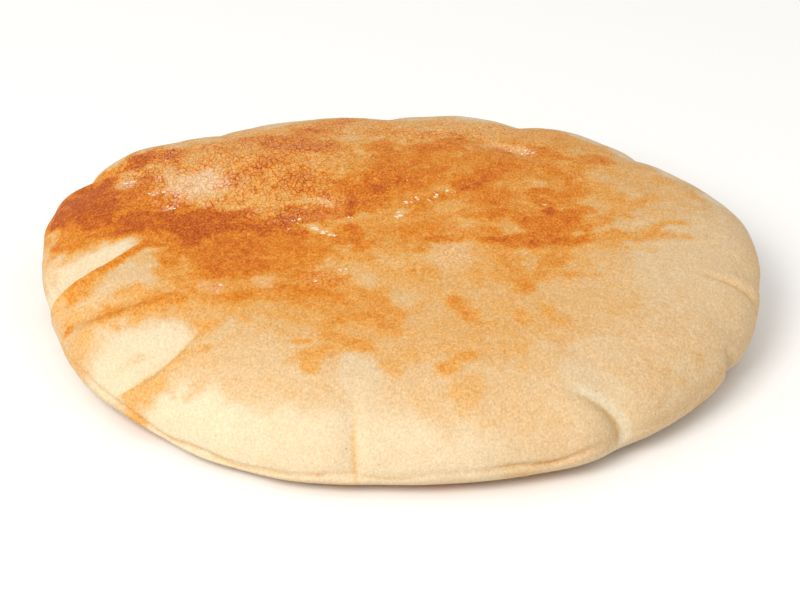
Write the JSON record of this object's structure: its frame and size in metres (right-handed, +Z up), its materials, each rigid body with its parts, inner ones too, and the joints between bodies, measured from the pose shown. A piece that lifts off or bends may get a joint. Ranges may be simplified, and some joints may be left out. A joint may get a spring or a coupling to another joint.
{
  "type": "pita bread",
  "caption": "Round puffed pocket bread with a rolled, folded rim, a seam where top and base crust meet, and a toasted, floury crown.",
  "frame": {"origin": "on the surface the bread rests on, under the middle of its bounding box", "axes": "+Z up out of the crown, -Y towards the rim that faces the viewer, +X to the viewer's right"},
  "size_m": [0.1724, 0.1652, 0.0264],
  "materials": {
    "crust": "matte baked crust, cream at the rim and toasted orange-brown over the crown"
  },
  "bodies": {
    "root": {"pita_bread": "crust"}
  },
  "joints": []
}
